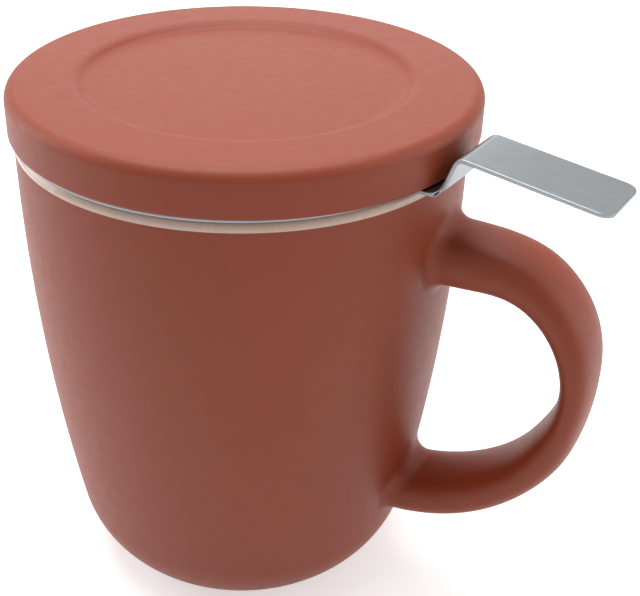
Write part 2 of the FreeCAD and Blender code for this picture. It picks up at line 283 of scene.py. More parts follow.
def lining(s, depth):
    """The cream surface, or a depth below it, from its edge outside, over the lip and down to the axis."""
    outer = s.sweep_r - depth
    inner = s.sweep_r - s.wall + depth
    round_z = s.lip_z - s.lip_round
    round_r = s.lip_round - depth
    outer_lip = point(wall_x(s, outer, round_z) - round_r, round_z)
    inner_lip = point(wall_x(s, inner, round_z) + round_r, round_z)
    corner_z = s.floor_z + s.floor_corner_r
    corner_arm = s.sweep_r - s.wall - s.floor_corner_r
    corner = point(wall_x(s, corner_arm, corner_z), corner_z)
    corner_angle = wall_angle(s, corner_arm, corner_z)
    centre = wall_centre(s)
    points = arc(centre, outer, wall_angle(s, outer, s.lip_z - s.glaze_drop), wall_angle(s, outer, round_z))
    points += arc(outer_lip, round_r, 0, math.pi / 2)
    points += arc(inner_lip, round_r, math.pi / 2, math.pi)
    points += arc(centre, inner, wall_angle(s, inner, round_z), corner_angle)
    points += arc(corner, s.floor_corner_r + depth, corner_angle, -math.pi / 2)
    points += run(points[-1], point(0, s.floor_z - depth))[1:]
    return points + [point(0, s.floor_z - depth)]


def outside(s):
    """The terracotta surface, from the axis under the foot up to the edge of the cream glaze."""
    heel_angle = wall_angle(s, s.sweep_r, s.heel_top_z)
    heel = wall_centre(s) + swung(point(s.sweep_r - s.heel_r, 0), heel_angle)
    heel_start = -math.asin((heel.z - s.foot_height) / s.heel_r)
    foot_r = heel.x + s.heel_r * math.cos(heel_start) - s.foot_inset
    inner_r = foot_r - s.foot_width
    edge = s.foot_edge
    points = run(point(0, s.foot_hollow), point(inner_r, s.foot_hollow))
    points += [point(inner_r, s.foot_hollow)]
    points += arc(point(inner_r + edge, edge), edge, math.pi, 1.5 * math.pi)
    points += arc(point(foot_r - edge, edge), edge, -math.pi / 2, 0)
    points += [point(foot_r, s.foot_height)]
    points += arc(heel, s.heel_r, heel_start, heel_angle)
    end = wall_angle(s, s.sweep_r, s.lip_z - s.glaze_drop)
    return points + arc(wall_centre(s), s.sweep_r, heel_angle, end)


def infuser_radii(mug, s):
    """Outer radius of the collar and outer radius of the basket wall."""
    collar_r = mug.lip_r - mug.wall - s.collar_gap
    return collar_r, collar_r - s.neck_in


def lid_outline(mug, infuser, s):
    seat_z = mug.lip_z + infuser.sheet
    top_z = seat_z + s.height
    under_z = seat_z + s.undercut
    lid_r = mug.lip_r + s.overhang
    recess_z = top_z - s.recess
    recess_r = lid_r - s.border
    sweep_r = (s.slope ** 2 + s.recess ** 2) / (4 * s.recess)
    sweep = math.asin(s.slope / (2 * sweep_r))
    spigot_r = infuser_radii(mug, infuser)[0] - infuser.basket_sheet - infuser.ledge - s.spigot_gap
    spigot_inner = spigot_r - s.spigot_width
    spigot_z = seat_z - s.spigot_depth
    roof_z = recess_z - s.roof
    seat_r = mug.lip_r - s.seat_inset
    down = -math.pi / 2
    fine = math.radians(3)
    points = run(point(0, roof_z), point(spigot_inner - s.roof_round, roof_z))
    points += arc(point(spigot_inner - s.roof_round, roof_z - s.roof_round), s.roof_round, math.pi / 2, 0)
    edge = s.spigot_round
    points += arc(point(spigot_inner + edge, spigot_z + edge), edge, -math.pi, down)
    points += arc(point(spigot_r - edge, spigot_z + edge), edge, down, 0)
    points += [point(spigot_r, seat_z)]
    points += run(point(seat_r, seat_z), point(seat_r, under_z))
    points += [point(seat_r, under_z)]
    points += arc(point(lid_r - s.low_round, under_z + s.low_round), s.low_round, down, 0, fine)
    points += arc(point(lid_r - s.top_round, top_z - s.top_round), s.top_round, 0, math.pi / 2, fine)
    points += run(point(lid_r - s.top_round, top_z), point(recess_r, top_z))[1:]
    points += arc(point(recess_r, top_z - sweep_r), sweep_r, math.pi / 2, math.pi / 2 + sweep, fine / 2)
    points += arc(point(recess_r - s.slope, recess_z + sweep_r), sweep_r, down + sweep, down, fine / 2)[1:]
    points += run(points[-1], point(0, recess_z))[1:]
    return points + [point(0, recess_z)]


# Node trees

def add_node(tree, kind, inputs=None, **settings):
    """A node with its settings made and its inputs filled or linked."""
    node = tree.nodes.new(kind)
    for key, value in settings.items():
        setattr(node, key, value)
    for key, value in (inputs or {}).items():
        if isinstance(value, bpy.types.NodeSocket):
            tree.links.new(value, node.inputs[key])
        else:
            node.inputs[key].default_value = value
    return node


def node_out(tree, kind, inputs=None, **settings):
    """The first output of a new node."""
    return add_node(tree, kind, inputs, **settings).outputs[0]


def sums(tree, operation, *values):
    """The result of a math node."""
    return node_out(tree, "ShaderNodeMath", dict(enumerate(values)), operation=operation)


def place_of(tree, x, y, z):
    """A vector from its three parts."""
    return node_out(tree, "ShaderNodeCombineXYZ", {"X": x, "Y": y, "Z": z})


def new_tree(name, inputs):
    """A geometry tree with a mesh going in and out, and named inputs between."""
    tree = bpy.data.node_groups.new(name, "GeometryNodeTree")
    tree.interface.new_socket(name="Geometry", in_out="INPUT", socket_type="NodeSocketGeometry")
    tree.interface.new_socket(name="Geometry", in_out="OUTPUT", socket_type="NodeSocketGeometry")
    for label, kind in inputs.items():
        tree.interface.new_socket(name=label, in_out="INPUT", socket_type="NodeSocket" + kind)
    start = tree.nodes.new("NodeGroupInput")
    return tree, {s.name: s for s in start.outputs if s.name}


def finish_tree(tree, geometry, crease, material):
    """Shades the mesh smooth except at its creases, realizes it and gives it its material."""
    smooth = node_out(tree, "GeometryNodeSetShadeSmooth", {"Geometry": geometry})
    bend = add_node(tree, "GeometryNodeInputMeshEdgeAngle").outputs["Unsigned Angle"]
    creased = node_out(tree, "GeometryNodeSetShadeSmooth",
                       {"Geometry": smooth, "Selection": sums(tree, "GREATER_THAN", bend, crease),
                        "Shade Smooth": False}, domain="EDGE")
    real = node_out(tree, "GeometryNodeRealizeInstances", {"Geometry": creased})
    made = node_out(tree, "GeometryNodeSetMaterial", {"Geometry": real, "Material": material})
    end = tree.nodes.new("NodeGroupOutput")
    tree.links.new(made, end.inputs[0])


def turned_tree():
    """Turns an outline in the XZ plane once about Z, and closes the seam and the poles."""
    tree, given = new_tree("Turned piece", {"Segments": "Int", "Crease": "Float", "Material": "Material"})
    outline = given["Geometry"]
    count = add_node(tree, "GeometryNodeAttributeDomainSize", {"Geometry": outline}).outputs["Point Count"]
    columns = sums(tree, "ADD", given["Segments"], 1)
    grid = add_node(tree, "GeometryNodeMeshGrid", {"Vertices X": columns, "Vertices Y": count})
    index = node_out(tree, "GeometryNodeInputIndex")
    column = sums(tree, "FLOOR", sums(tree, "DIVIDE", sums(tree, "ADD", index, 0.5), count))
    row = sums(tree, "SUBTRACT", index, sums(tree, "MULTIPLY", column, count))
    place = node_out(tree, "GeometryNodeInputPosition")
    sample = node_out(tree, "GeometryNodeSampleIndex", {"Geometry": outline, "Value": place, "Index": row},
                      data_type="FLOAT_VECTOR", domain="POINT")
    parts = add_node(tree, "ShaderNodeSeparateXYZ", {0: sample})
    turn = sums(tree, "MULTIPLY", sums(tree, "DIVIDE", column, given["Segments"]), 2 * math.pi)
    x = sums(tree, "MULTIPLY", parts.outputs["X"], sums(tree, "COSINE", turn))
    y = sums(tree, "MULTIPLY", parts.outputs["X"], sums(tree, "SINE", turn))
    moved = place_of(tree, x, y, parts.outputs["Z"])
    shaped = node_out(tree, "GeometryNodeSetPosition", {"Geometry": grid.outputs["Mesh"], "Position": moved})
    closed = node_out(tree, "GeometryNodeMergeByDistance", {"Geometry": shaped, "Distance": WELD})
    beside = tree.nodes.new("GeometryNodeInputMeshEdgeNeighbors").outputs["Face Count"]
    lone = sums(tree, "LESS_THAN", beside, 0.5)
    clean = node_out(tree, "GeometryNodeDeleteGeometry", {"Geometry": closed, "Selection": lone},
                     domain="EDGE")
    finish_tree(tree, clean, given["Crease"], given["Material"])
    return tree


def joined(tree, *geometries):
    """Several geometries as one."""
    node = tree.nodes.new("GeometryNodeJoinGeometry")
    for geometry in reversed(geometries):
        tree.links.new(geometry, node.inputs[0])
    return node.outputs[0]


def staggered(tree, columns, pitch):
    """Each point's column, row and distance along, on a lattice with every other row set over by half."""
    index = node_out(tree, "GeometryNodeInputIndex")
    row = sums(tree, "FLOOR", sums(tree, "DIVIDE", sums(tree, "ADD", index, 0.5), columns))
    column = sums(tree, "SUBTRACT", index, sums(tree, "MULTIPLY", row, columns))
    shift = sums(tree, "MULTIPLY", sums(tree, "MODULO", row, 2.0), 0.5)
    return column, row, sums(tree, "MULTIPLY", sums(tree, "ADD", column, shift), pitch)


def wall_tree():
    """Lays the wall's cells out flat in staggered rows and wraps them round Z."""
    tree, given = new_tree("Perforated wall", {
        "Columns": "Int", "Rows": "Int", "Plain columns": "Int", "Row height": "Float", "First row": "Float",
        "Radius": "Float", "Turn": "Float", "Crease": "Float", "Material": "Material"})
    columns, rows, radius = given["Columns"], given["Rows"], given["Radius"]
    pitch = sums(tree, "DIVIDE", sums(tree, "MULTIPLY", radius, 2 * math.pi), columns)
    column, row, along = staggered(tree, columns, pitch)
    up = sums(tree, "ADD", sums(tree, "MULTIPLY", row, given["Row height"]), given["First row"])
    points = node_out(tree, "GeometryNodePoints", {"Count": sums(tree, "MULTIPLY", columns, rows),
                                                   "Position": place_of(tree, along, 0.0, up)})
    kind = node_out(tree, "GeometryNodeInputNamedAttribute", {"Name": "kind"}, data_type="INT")
    last_holed = sums(tree, "SUBTRACT", columns, sums(tree, "ADD", given["Plain columns"], 0.5))
    plain = sums(tree, "GREATER_THAN", column, last_holed)
    chosen = [sums(tree, "SUBTRACT", 1.0, plain), plain, sums(tree, "LESS_THAN", row, 0.5),
              sums(tree, "GREATER_THAN", row, sums(tree, "SUBTRACT", rows, 1.5))]
    laid = []
    for number, choice in enumerate(chosen):
        same = sums(tree, "COMPARE", kind, float(number), 0.5)
        cell = node_out(tree, "GeometryNodeSeparateGeometry",
                        {"Geometry": given["Geometry"], "Selection": same}, domain="FACE")
        copies = node_out(tree, "GeometryNodeInstanceOnPoints",
                          {"Points": points, "Selection": choice, "Instance": cell})
        laid.append(copies)
    flat = node_out(tree, "GeometryNodeRealizeInstances", {"Geometry": joined(tree, *laid)})
    position = node_out(tree, "GeometryNodeInputPosition")
    place = add_node(tree, "ShaderNodeSeparateXYZ", {0: position})
    turn = sums(tree, "ADD", sums(tree, "DIVIDE", place.outputs["X"], radius), given["Turn"])
    out = sums(tree, "ADD", radius, place.outputs["Y"])
    wrapped = place_of(tree, sums(tree, "MULTIPLY", out, sums(tree, "COSINE", turn)),
                       sums(tree, "MULTIPLY", out, sums(tree, "SINE", turn)), place.outputs["Z"])
    shaped = node_out(tree, "GeometryNodeSetPosition", {"Geometry": flat, "Position": wrapped})
    closed = node_out(tree, "GeometryNodeMergeByDistance",
                      {"Geometry": shaped, "Distance": CELL_WELD})
    finish_tree(tree, closed, given["Crease"], given["Material"])
    return tree


def wall_cells(pitch, row, sheet, hole_r, foot, top):
    """Flat cells of the wall, told apart by kind: holed, plain, and the plain bands at its foot and top."""
    verts, faces, kinds = [], [], []

    def ring(points, y):
        start = len(verts)
        verts.extend((x, y, z) for x, z in points)
        return [start + i for i in range(len(points))]

    def add(kind, front, back):
        faces.append(tuple(front))
        faces.append(tuple(back[::-1]))
        kinds.extend((kind, kind))

    x, z = pitch / 2, row / 2
    edge = [(-x, -z), (0, -z), (x, -z), (x, 0), (x, z), (0, z), (-x, z), (-x, 0)]
    turns = [math.radians(45 * i - 135) for i in range(8)]
    hole = [(hole_r * math.cos(a), hole_r * math.sin(a)) for a in turns]
    outer, inner = (ring(edge, 0.0), ring(hole, 0.0)), (ring(edge, -sheet), ring(hole, -sheet))
    for i in range(8):
        k = (i + 1) % 8
        add(0, *([rim[i], rim[k], bore[k], bore[i]] for rim, bore in (outer, inner)))
        faces.append((outer[1][i], outer[1][k], inner[1][k], inner[1][i]))
        kinds.append(0)
    front, back = ring(edge, 0.0), ring(edge, -sheet)
    for half in ((0, 1, 5, 6, 7), (1, 2, 3, 4, 5)):
        add(1, [front[i] for i in half], [back[i] for i in half])
    for kind, low, high in ((2, -z - foot, -z), (3, z, z + top)):
        band = [(-x, low), (0, low), (x, low), (x, high), (0, high), (-x, high)]
        front, back = ring(band, 0.0), ring(band, -sheet)
        for half in ((0, 1, 4, 5), (1, 2, 3, 4)):
            add(kind, [front[i] for i in half], [back[i] for i in half])
        for i, k in ((0, 1), (1, 2)) if kind == 2 else ((3, 4), (4, 5)):
            faces.append((front[k], front[i], back[i], back[k]))
            kinds.append(kind)
    mesh = bpy.data.meshes.new("wall_cells")
    mesh.from_pydata(verts, [], faces)
    mesh.attributes.new("kind", "INT", "FACE").data.foreach_set("value", kinds)
    return mesh


def base_tree():
    """Adds to the base's rim a flat disc with a staggered field of holes."""
    tree, given = new_tree("Perforated base", {
        "Side": "Int", "Pitch": "Float", "Hole radius": "Float", "Field radius": "Float",
        "Disc radius": "Float", "Sheet": "Float", "Height": "Float", "Crease": "Float",
        "Material": "Material"})
    side, pitch = given["Side"], given["Pitch"]
    row, along = staggered(tree, side, pitch)[1:]
    middle = sums(tree, "MULTIPLY", sums(tree, "FLOOR", sums(tree, "MULTIPLY", side, 0.5)), pitch)
    x = sums(tree, "SUBTRACT", along, middle)
    up = sums(tree, "SUBTRACT", sums(tree, "MULTIPLY", row, pitch), middle)
    y = sums(tree, "MULTIPLY", up, ROW_STEP)
    points = node_out(tree, "GeometryNodePoints", {"Count": sums(tree, "MULTIPLY", side, side),
                                                   "Position": place_of(tree, x, y, 0.0)})
    reach = sums(tree, "SQRT", sums(tree, "ADD", sums(tree, "MULTIPLY", x, x), sums(tree, "MULTIPLY", y, y)))
    hole = node_out(tree, "GeometryNodeCurvePrimitiveCircle",
                    {"Resolution": 8, "Radius": given["Hole radius"]})
    holes = node_out(tree, "GeometryNodeInstanceOnPoints",
                     {"Points": points, "Instance": hole,
                      "Selection": sums(tree, "LESS_THAN", reach, given["Field radius"])})
    real = node_out(tree, "GeometryNodeRealizeInstances", {"Geometry": holes})
    edge = node_out(tree, "GeometryNodeCurvePrimitiveCircle",
                    {"Resolution": SEGMENTS, "Radius": given["Disc radius"]})
    outlines = joined(tree, edge, real)
    disc = node_out(tree, "GeometryNodeFillCurve", {"Curve": outlines})
    under = node_out(tree, "GeometryNodeFlipFaces", {"Mesh": disc})
    over = node_out(tree, "GeometryNodeExtrudeMesh", {"Mesh": disc, "Offset": (0.0, 0.0, 1.0),
                                                      "Offset Scale": given["Sheet"], "Individual": False})
    both = node_out(tree, "GeometryNodeMergeByDistance",
                    {"Geometry": joined(tree, over, under), "Distance": CELL_WELD})
    lifted = node_out(tree, "GeometryNodeSetPosition",
                      {"Geometry": both, "Offset": place_of(tree, 0.0, 0.0, given["Height"])})
    finish_tree(tree, joined(tree, given["Geometry"], lifted), given["Crease"], given["Material"])
    return tree


def placed(name, data):
    """A new object in the scene."""
    piece = bpy.data.objects.new(name, data)
    bpy.context.scene.collection.objects.link(piece)
    return piece


def made_by(tree, name, mesh, values):
    """A plain mesh object from a tree run on a starting mesh."""
    start = placed(name + "_start", mesh)
    modifier = start.modifiers.new("Make", "NODES")
    modifier.node_group = tree
    for item in tree.interface.items_tree:
        if item.item_type == "SOCKET" and item.in_out == "INPUT" and item.name in values:
            modifier[item.identifier] = values[item.name]
    bpy.context.view_layer.update()
    evaluated = start.evaluated_get(bpy.context.evaluated_depsgraph_get())
    made = bpy.data.meshes.new_from_object(evaluated)
    made.name = name
    for slot in reversed([i for i, material in enumerate(made.materials) if material is None]):
        made.materials.pop(index=slot)
    bpy.data.objects.remove(start)
    bpy.data.meshes.remove(mesh)
    return placed(name, made)


def line_mesh(name, points):
    mesh = bpy.data.meshes.new(name)
    mesh.from_pydata([tuple(p) for p in points], [(i, i + 1) for i in range(len(points) - 1)], [])
    return mesh


def turned(name, points, material, segments=SEGMENTS):
    """A turned piece; an outline that rises on its outer side faces outwards."""
    tree = bpy.data.node_groups.get("Turned piece") or turned_tree()
    return made_by(tree, name, line_mesh(name, points),
                   {"Segments": segments, "Crease": CREASE, "Material": material})


def seat(piece, body, slot, *nodes):
    """Puts a finished piece on its body, in place of its nodes; its slot is not used."""
    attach(piece, body)
    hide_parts(*nodes)


# Materials

def new_material(name):
    """A material with a single Principled shader, its tree and its shader."""
    material = bpy.data.materials.new(name)
    material.use_nodes = True
    tree = material.node_tree
    tree.nodes.clear()
    shader = tree.nodes.new("ShaderNodeBsdfPrincipled")
    end = tree.nodes.new("ShaderNodeOutputMaterial")
    tree.links.new(shader.outputs[0], end.inputs[0])
    return material, tree, shader


def noise(tree, vector, scale, detail, roughness=0.5):
    return add_node(tree, "ShaderNodeTexNoise", {"Vector": vector, "Scale": scale, "Detail": detail,
                                                 "Roughness": roughness}).outputs["Fac"]


def ramp(tree, value, stops):
    """A colour or grey ramp from (place, colour) stops."""
    node = tree.nodes.new("ShaderNodeValToRGB")
    tree.links.new(value, node.inputs[0])
    steps = node.color_ramp.elements
    while len(steps) < len(stops):
        steps.new(0.5)
    for step, (place, shade) in zip(steps, stops):
        step.position = place
        step.color = tuple(shade) + (1.0,) if hasattr(shade, "__len__") else (shade, shade, shade, 1.0)
    return node.outputs[0]


def bump(tree, shader, height, distance, strength):
    node = node_out(tree, "ShaderNodeBump", {"Height": height, "Distance": distance, "Strength": strength})
    tree.links.new(node, shader.inputs["Normal"])


def matt_terracotta(finishes, name, bare_below):
    """Matt stoneware glaze with a fine grain and a faint dimple, and bare clay below a height."""
    material, tree, shader = new_material(name)
    place = tree.nodes.new("ShaderNodeTexCoord").outputs["Object"]
    broad = noise(tree, place, TONE, 3.0)
    grain = noise(tree, place, GRAIN, 2.0)
    dimple = noise(tree, place, DIMPLE, 2.0)
    tone = ramp(tree, broad, [(0.30, finishes.terracotta_deep), (0.70, finishes.terracotta)])
    if bare_below:
        height = add_node(tree, "ShaderNodeSeparateXYZ", {0: place}).outputs["Z"]
        edge = sums(tree, "MULTIPLY", sums(tree, "SUBTRACT", dimple, 0.5), 0.3 * MM)
        bare = sums(tree, "LESS_THAN", sums(tree, "ADD", height, edge), bare_below)
        clay = tuple(finishes.bare_clay) + (1.0,)
        tone = add_node(tree, "ShaderNodeMix", {0: bare, 6: tone, 7: clay}, data_type="RGBA").outputs[2]
    speck = ramp(tree, grain, [(0.28, 0.97), (0.5, 1.0), (0.72, 1.02)])
    shaded = add_node(tree, "ShaderNodeMix", {0: 1.0, 6: tone, 7: speck}, data_type="RGBA",
                      blend_type="MULTIPLY")
    tree.links.new(shaded.outputs[2], shader.inputs["Base Color"])
    rough = ramp(tree, dimple, [(0.3, 0.47), (0.7, 0.53)])
    tree.links.new(rough, shader.inputs["Roughness"])
    shader.inputs["Specular IOR Level"].default_value = 0.38
    height = sums(tree, "ADD", sums(tree, "MULTIPLY", dimple, 0.6), sums(tree, "MULTIPLY", grain, 0.4))
    bump(tree, shader, height, 0.00004, 0.2)
    return material


def gloss_cream(finishes):
    """Gloss cream glaze with faint warm pooling."""
    material, tree, shader = new_material("gloss_cream_glaze")
    place = tree.nodes.new("ShaderNodeTexCoord").outputs["Object"]
    broad = noise(tree, place, POOLING, 4.0)
    warm = tuple(c * k for c, k in zip(finishes.cream, (0.93, 0.88, 0.80)))
    tree.links.new(ramp(tree, broad, [(0.3, warm), (0.7, finishes.cream)]), shader.inputs["Base Color"])
    ripple = noise(tree, place, RIPPLE, 1.0)
    tree.links.new(ramp(tree, ripple, [(0.3, 0.20), (0.7, 0.30)]), shader.inputs["Roughness"])
    shader.inputs["Coat Weight"].default_value = 0.35
    shader.inputs["Coat Roughness"].default_value = 0.12
    bump(tree, shader, ripple, 0.00004, 0.4)
    return material


def satin_steel(finishes, name, across):
    """Stainless sheet with fine rolling lines: they run along X, or round Z on the turned parts."""
    material, tree, shader = new_material(name)
    place = tree.nodes.new("ShaderNodeTexCoord").outputs["Object"]
    if across == "round":
        parts = add_node(tree, "ShaderNodeSeparateXYZ", {0: place})
        out = sums(tree, "SQRT", sums(tree, "ADD", sums(tree, "POWER", parts.outputs["X"], 2.0),
                                      sums(tree, "POWER", parts.outputs["Y"], 2.0)))
        turn = sums(tree, "MULTIPLY", sums(tree, "ARCTAN2", parts.outputs["Y"], parts.outputs["X"]), 0.02)
        lined = place_of(tree, out, turn, parts.outputs["Z"])
        stretch = (1.0, 0.05, 1.0)
    else:
        lined = place
        stretch = (0.03, 1.0, 1.0)
    mapping = node_out(tree, "ShaderNodeMapping", {"Vector": lined, "Scale": stretch})
    lines = noise(tree, mapping, ROLLING, 3.0, 0.6)
    smudge = noise(tree, place, SMUDGE, 3.0)
    pale = tuple(min(1.0, c * 1.08) for c in finishes.steel)
    dark = tuple(c * 0.90 for c in finishes.steel)
    tree.links.new(ramp(tree, lines, [(0.3, dark), (0.7, pale)]), shader.inputs["Base Color"])
    rough = sums(tree, "ADD", sums(tree, "MULTIPLY", lines, 0.12), sums(tree, "MULTIPLY", smudge, 0.10))
    tree.links.new(sums(tree, "ADD", rough, 0.22), shader.inputs["Roughness"])
    shader.inputs["Metallic"].default_value = 1.0
    bump(tree, shader, lines, 0.00001, 0.35)
    return material


def the_material(name, make, *args):
    return bpy.data.materials.get(name) or make(*args)


def terracotta(scene, name="matt_terracotta_glaze", bare_below=0.0):
    return the_material(name, matt_terracotta, scene.mug_finishes, name, bare_below)


def cream(scene):
    return the_material("gloss_cream_glaze", gloss_cream, scene.mug_finishes)


def sheet_steel(scene, across):
    name = "satin_steel_" + across
    return the_material(name, satin_steel, scene.mug_finishes, name, across)


# Pieces

class MUG_OT_body(bpy.types.Operator):
    """The stoneware body, turned from its outline"""
    bl_idname = "mug.body"
    bl_label = "Stoneware body"

    def execute(self, context):
        sizes = context.scene.mug_sizes
        points = outside(sizes) + lining(sizes, sizes.glaze)
        glaze = terracotta(context.scene, "matt_terracotta_footed", 0.6 * sizes.foot_height)
        piece = turned("stoneware_body", points, glaze, segments=FINE_SEGMENTS)
        seat(piece, "mug", "stoneware_terracotta", "mug_body")
        return {"FINISHED"}


class MUG_OT_liner(bpy.types.Operator):
    """The cream glaze inside the mug and over its lip"""
    bl_idname = "mug.liner"
    bl_label = "Cream liner glaze"

    def execute(self, context):
        sizes = context.scene.mug_sizes
        skin = lining(sizes, 0.0)
        points = skin + lining(sizes, sizes.glaze)[::-1] + [skin[0]]
        piece = turned("cream_liner", points, cream(context.scene), segments=FINE_SEGMENTS)
        seat(piece, "mug", "cream_glaze", "liner_glaze")
        return {"FINISHED"}


class MUG_OT_handle(bpy.types.Operator):
    """The handle, smoothed over its own packed form"""
    bl_idname = "mug.handle"
    bl_label = "Handle"

    def execute(self, context):
        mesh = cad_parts["mug_handle"].data.copy()
        mesh.name = "stoneware_handle"
        shape = bmesh.new()
        shape.from_mesh(mesh)
        bmesh.ops.remove_doubles(shape, verts=shape.verts, dist=WELD)
        shape.to_mesh(mesh)
        shape.free()
        mesh.shade_smooth()
        mesh.set_sharp_from_angle(angle=SHARP)
        mesh.materials.clear()
        mesh.materials.append(terracotta(context.scene))
        piece = placed("stoneware_handle", mesh)
        seat(piece, "mug", "stoneware_terracotta", "mug_handle")
        return {"FINISHED"}


def tab_path(mug, infuser, lid, s):
    """The line along the middle of the strip, from inside the ring to the tab's end."""
    lid_r = mug.lip_r + lid.overhang
    mid_z = mug.lip_z + infuser.sheet / 2 + s.proud
    fold = point(lid_r + s.fold, mid_z)
    top = fold + point(s.rise * math.tan(s.lean), s.rise)
    end_x = lid_r + s.reach
    end = point(end_x, top.z - (end_x - top.x) * math.tan(s.droop))
    root = point(infuser_radii(mug, infuser)[0], mid_z)
    return bent([root, fold, top, end], [s.bend, s.top_bend])


def tab_mesh(mug, infuser, lid, s):
    """The strip as one closed skin with softened edges, wider where it leaves the ring."""
    places, directions = tab_path(mug, infuser, lid, s)
    along = [0.0]
    for a, b in zip(places, places[1:]):
        along.append(along[-1] + (b - a).length)
    total = along[-1]
    half = infuser.sheet / 2
    seat_z = mug.lip_z + infuser.sheet
    flare_r = (s.flare ** 2 + s.flare_height ** 2) / (2 * s.flare)
    stations = [d for d in along if d < total - s.corner_r - 0.5 * MM]
    riser = [d for d, p in zip(along, places) if seat_z - half <= p.z < seat_z + s.flare_height + half]
    stations += [riser[0] + (riser[-1] - riser[0]) * i / 14 for i in range(1, 14)]
    stations += [total - s.corner_r * (1 - math.sin(math.radians(5 * i))) for i in range(17)]
    stations = sorted(d for d in stations if d < total - s.edge - 0.02 * MM)
    stations = [d for d, e in zip(stations, stations[1:] + [total]) if e - d > 0.005 * MM]
    tip = [(total - s.edge + s.edge * math.cos(a), half - s.edge + s.edge * math.sin(a))
           for a in (math.radians(90 - 15 * i) for i in range(7))]

    def where(distance):
        for i in range(1, len(along)):
            if along[i] >= distance - 1e-12:
                share = (distance - along[i - 1]) / (along[i] - along[i - 1])
                direction = directions[i - 1].lerp(directions[i], share).normalized()
                return places[i - 1].lerp(places[i], share), direction
        return places[-1], directions[-1]

    def half_width(distance, z):
        width = s.width / 2
        below = seat_z + s.flare_height - z
        if below > 0:
            width += flare_r - math.sqrt(flare_r ** 2 - min(below, s.flare_height) ** 2)
        beyond = distance - (total - s.corner_r)
        if beyond > 0:
            width -= s.corner_r - math.sqrt(max(0.0, s.corner_r ** 2 - beyond ** 2))
        return width

    rows = [(d, half) for d in stations] + tip
    verts, faces = [], []
    quarter = [math.radians(18 * i) for i in range(6)]
    across = 10
    for distance, thick in rows:
        centre, direction = where(min(distance, total))
        up = swung(direction, math.pi / 2)
        r = min(s.edge, thick)
        sides = {1: half_width(min(distance, total - 1e-9), (centre + up * thick).z),
                 -1: half_width(min(distance, total - 1e-9), (centre - up * thick).z)}
        section = []
        for face in (1, -1):
            rim = [(sides[face] - r + r * math.cos(a), face * (thick - r + r * math.sin(a))) for a in quarter]
            flat = sides[face] - r
            row = rim + [(flat - 2 * flat * i / across, face * thick) for i in range(1, across)]
            row += [(-y, t) for y, t in rim[::-1]]
            section += row if face == 1 else row[::-1]
        verts += [centre + Vector((0, y, 0)) + up * t for y, t in section]
    size = len(verts) // len(rows)
    for i in range(len(rows) - 1):
        for j in range(size):
            k = (j + 1) % size
            faces.append((i * size + j, i * size + k, (i + 1) * size + k, (i + 1) * size + j))
    faces.append(tuple(range(size))[::-1])
    faces.append(tuple((len(rows) - 1) * size + j for j in range(size)))
    shape = bmesh.new()
    made = [shape.verts.new(v) for v in verts]
    for face in faces:
        shape.faces.new([made[i] for i in face])
    bmesh.ops.remove_doubles(shape, verts=shape.verts, dist=1e-6)
    bmesh.ops.recalc_face_normals(shape, faces=shape.faces)
    bmesh.ops.rotate(shape, verts=shape.verts, matrix=Matrix.Rotation(s.turn, 3, "Z"))
    return shape


class MUG_OT_rim(bpy.types.Operator):
    """The infuser's rim ring and its bent tab"""
    bl_idname = "mug.rim"
    bl_label = "Infuser rim and tab"

    def execute(self, context):
        scene = context.scene
        mug, s = scene.mug_sizes, scene.infuser_sizes
        half = s.sheet / 2
        inner = infuser_radii(mug, s)[0] - s.basket_sheet - s.ledge
        outer = mug.lip_r + s.rim_past
        mid_z = mug.lip_z + half
        steel = sheet_steel(scene, "round")
        points = [point(inner, mug.lip_z)] + arc(point(outer - half, mid_z), half, -math.pi / 2, math.pi / 2)
        points += [point(inner, mug.lip_z + s.sheet), point(inner, mug.lip_z)]
        piece = turned("infuser_rim_steel", points, steel, segments=FINE_SEGMENTS)
        shape = tab_mesh(mug, s, scene.lid_sizes, scene.tab_sizes)
        strip = bpy.data.meshes.new("strip")
        shape.to_mesh(strip)
        shape.free()
        strip.shade_smooth()
        strip.set_sharp_from_angle(angle=SHARP)
        strip.materials.append(sheet_steel(scene, "along"))
        tab = placed("strip", strip)
        with context.temp_override(active_object=piece, selected_editable_objects=[piece, tab]):
            bpy.ops.object.join()
        seat(piece, "infuser", "stainless_satin", "infuser_rim")
        return {"FINISHED"}


class MUG_OT_collar(bpy.types.Operator):
    """The drawn collar that hangs the basket from the ring"""
    bl_idname = "mug.collar"
    bl_label = "Infuser collar"

    def execute(self, context):
        scene = context.scene
        mug, s = scene.mug_sizes, scene.infuser_sizes
        collar_r, basket_r = infuser_radii(mug, s)
        half = s.basket_sheet / 2
        neck_z = mug.lip_z - s.collar_height - s.neck_drop
        corners = [point(collar_r + s.turn_out, mug.lip_z - half), point(collar_r - half, mug.lip_z - half),
                   point(collar_r - half, mug.lip_z - s.collar_height), point(basket_r + half, neck_z),
                   point(basket_r + half, neck_z - s.neck_length)]
        points = sheet_outline(corners, [s.edge_bend, s.collar_bend, s.collar_bend], s.basket_sheet)
        piece = turned("infuser_collar_steel", points, sheet_steel(scene, "round"), segments=256)
        seat(piece, "infuser", "stainless_satin", "infuser_collar")
        return {"FINISHED"}


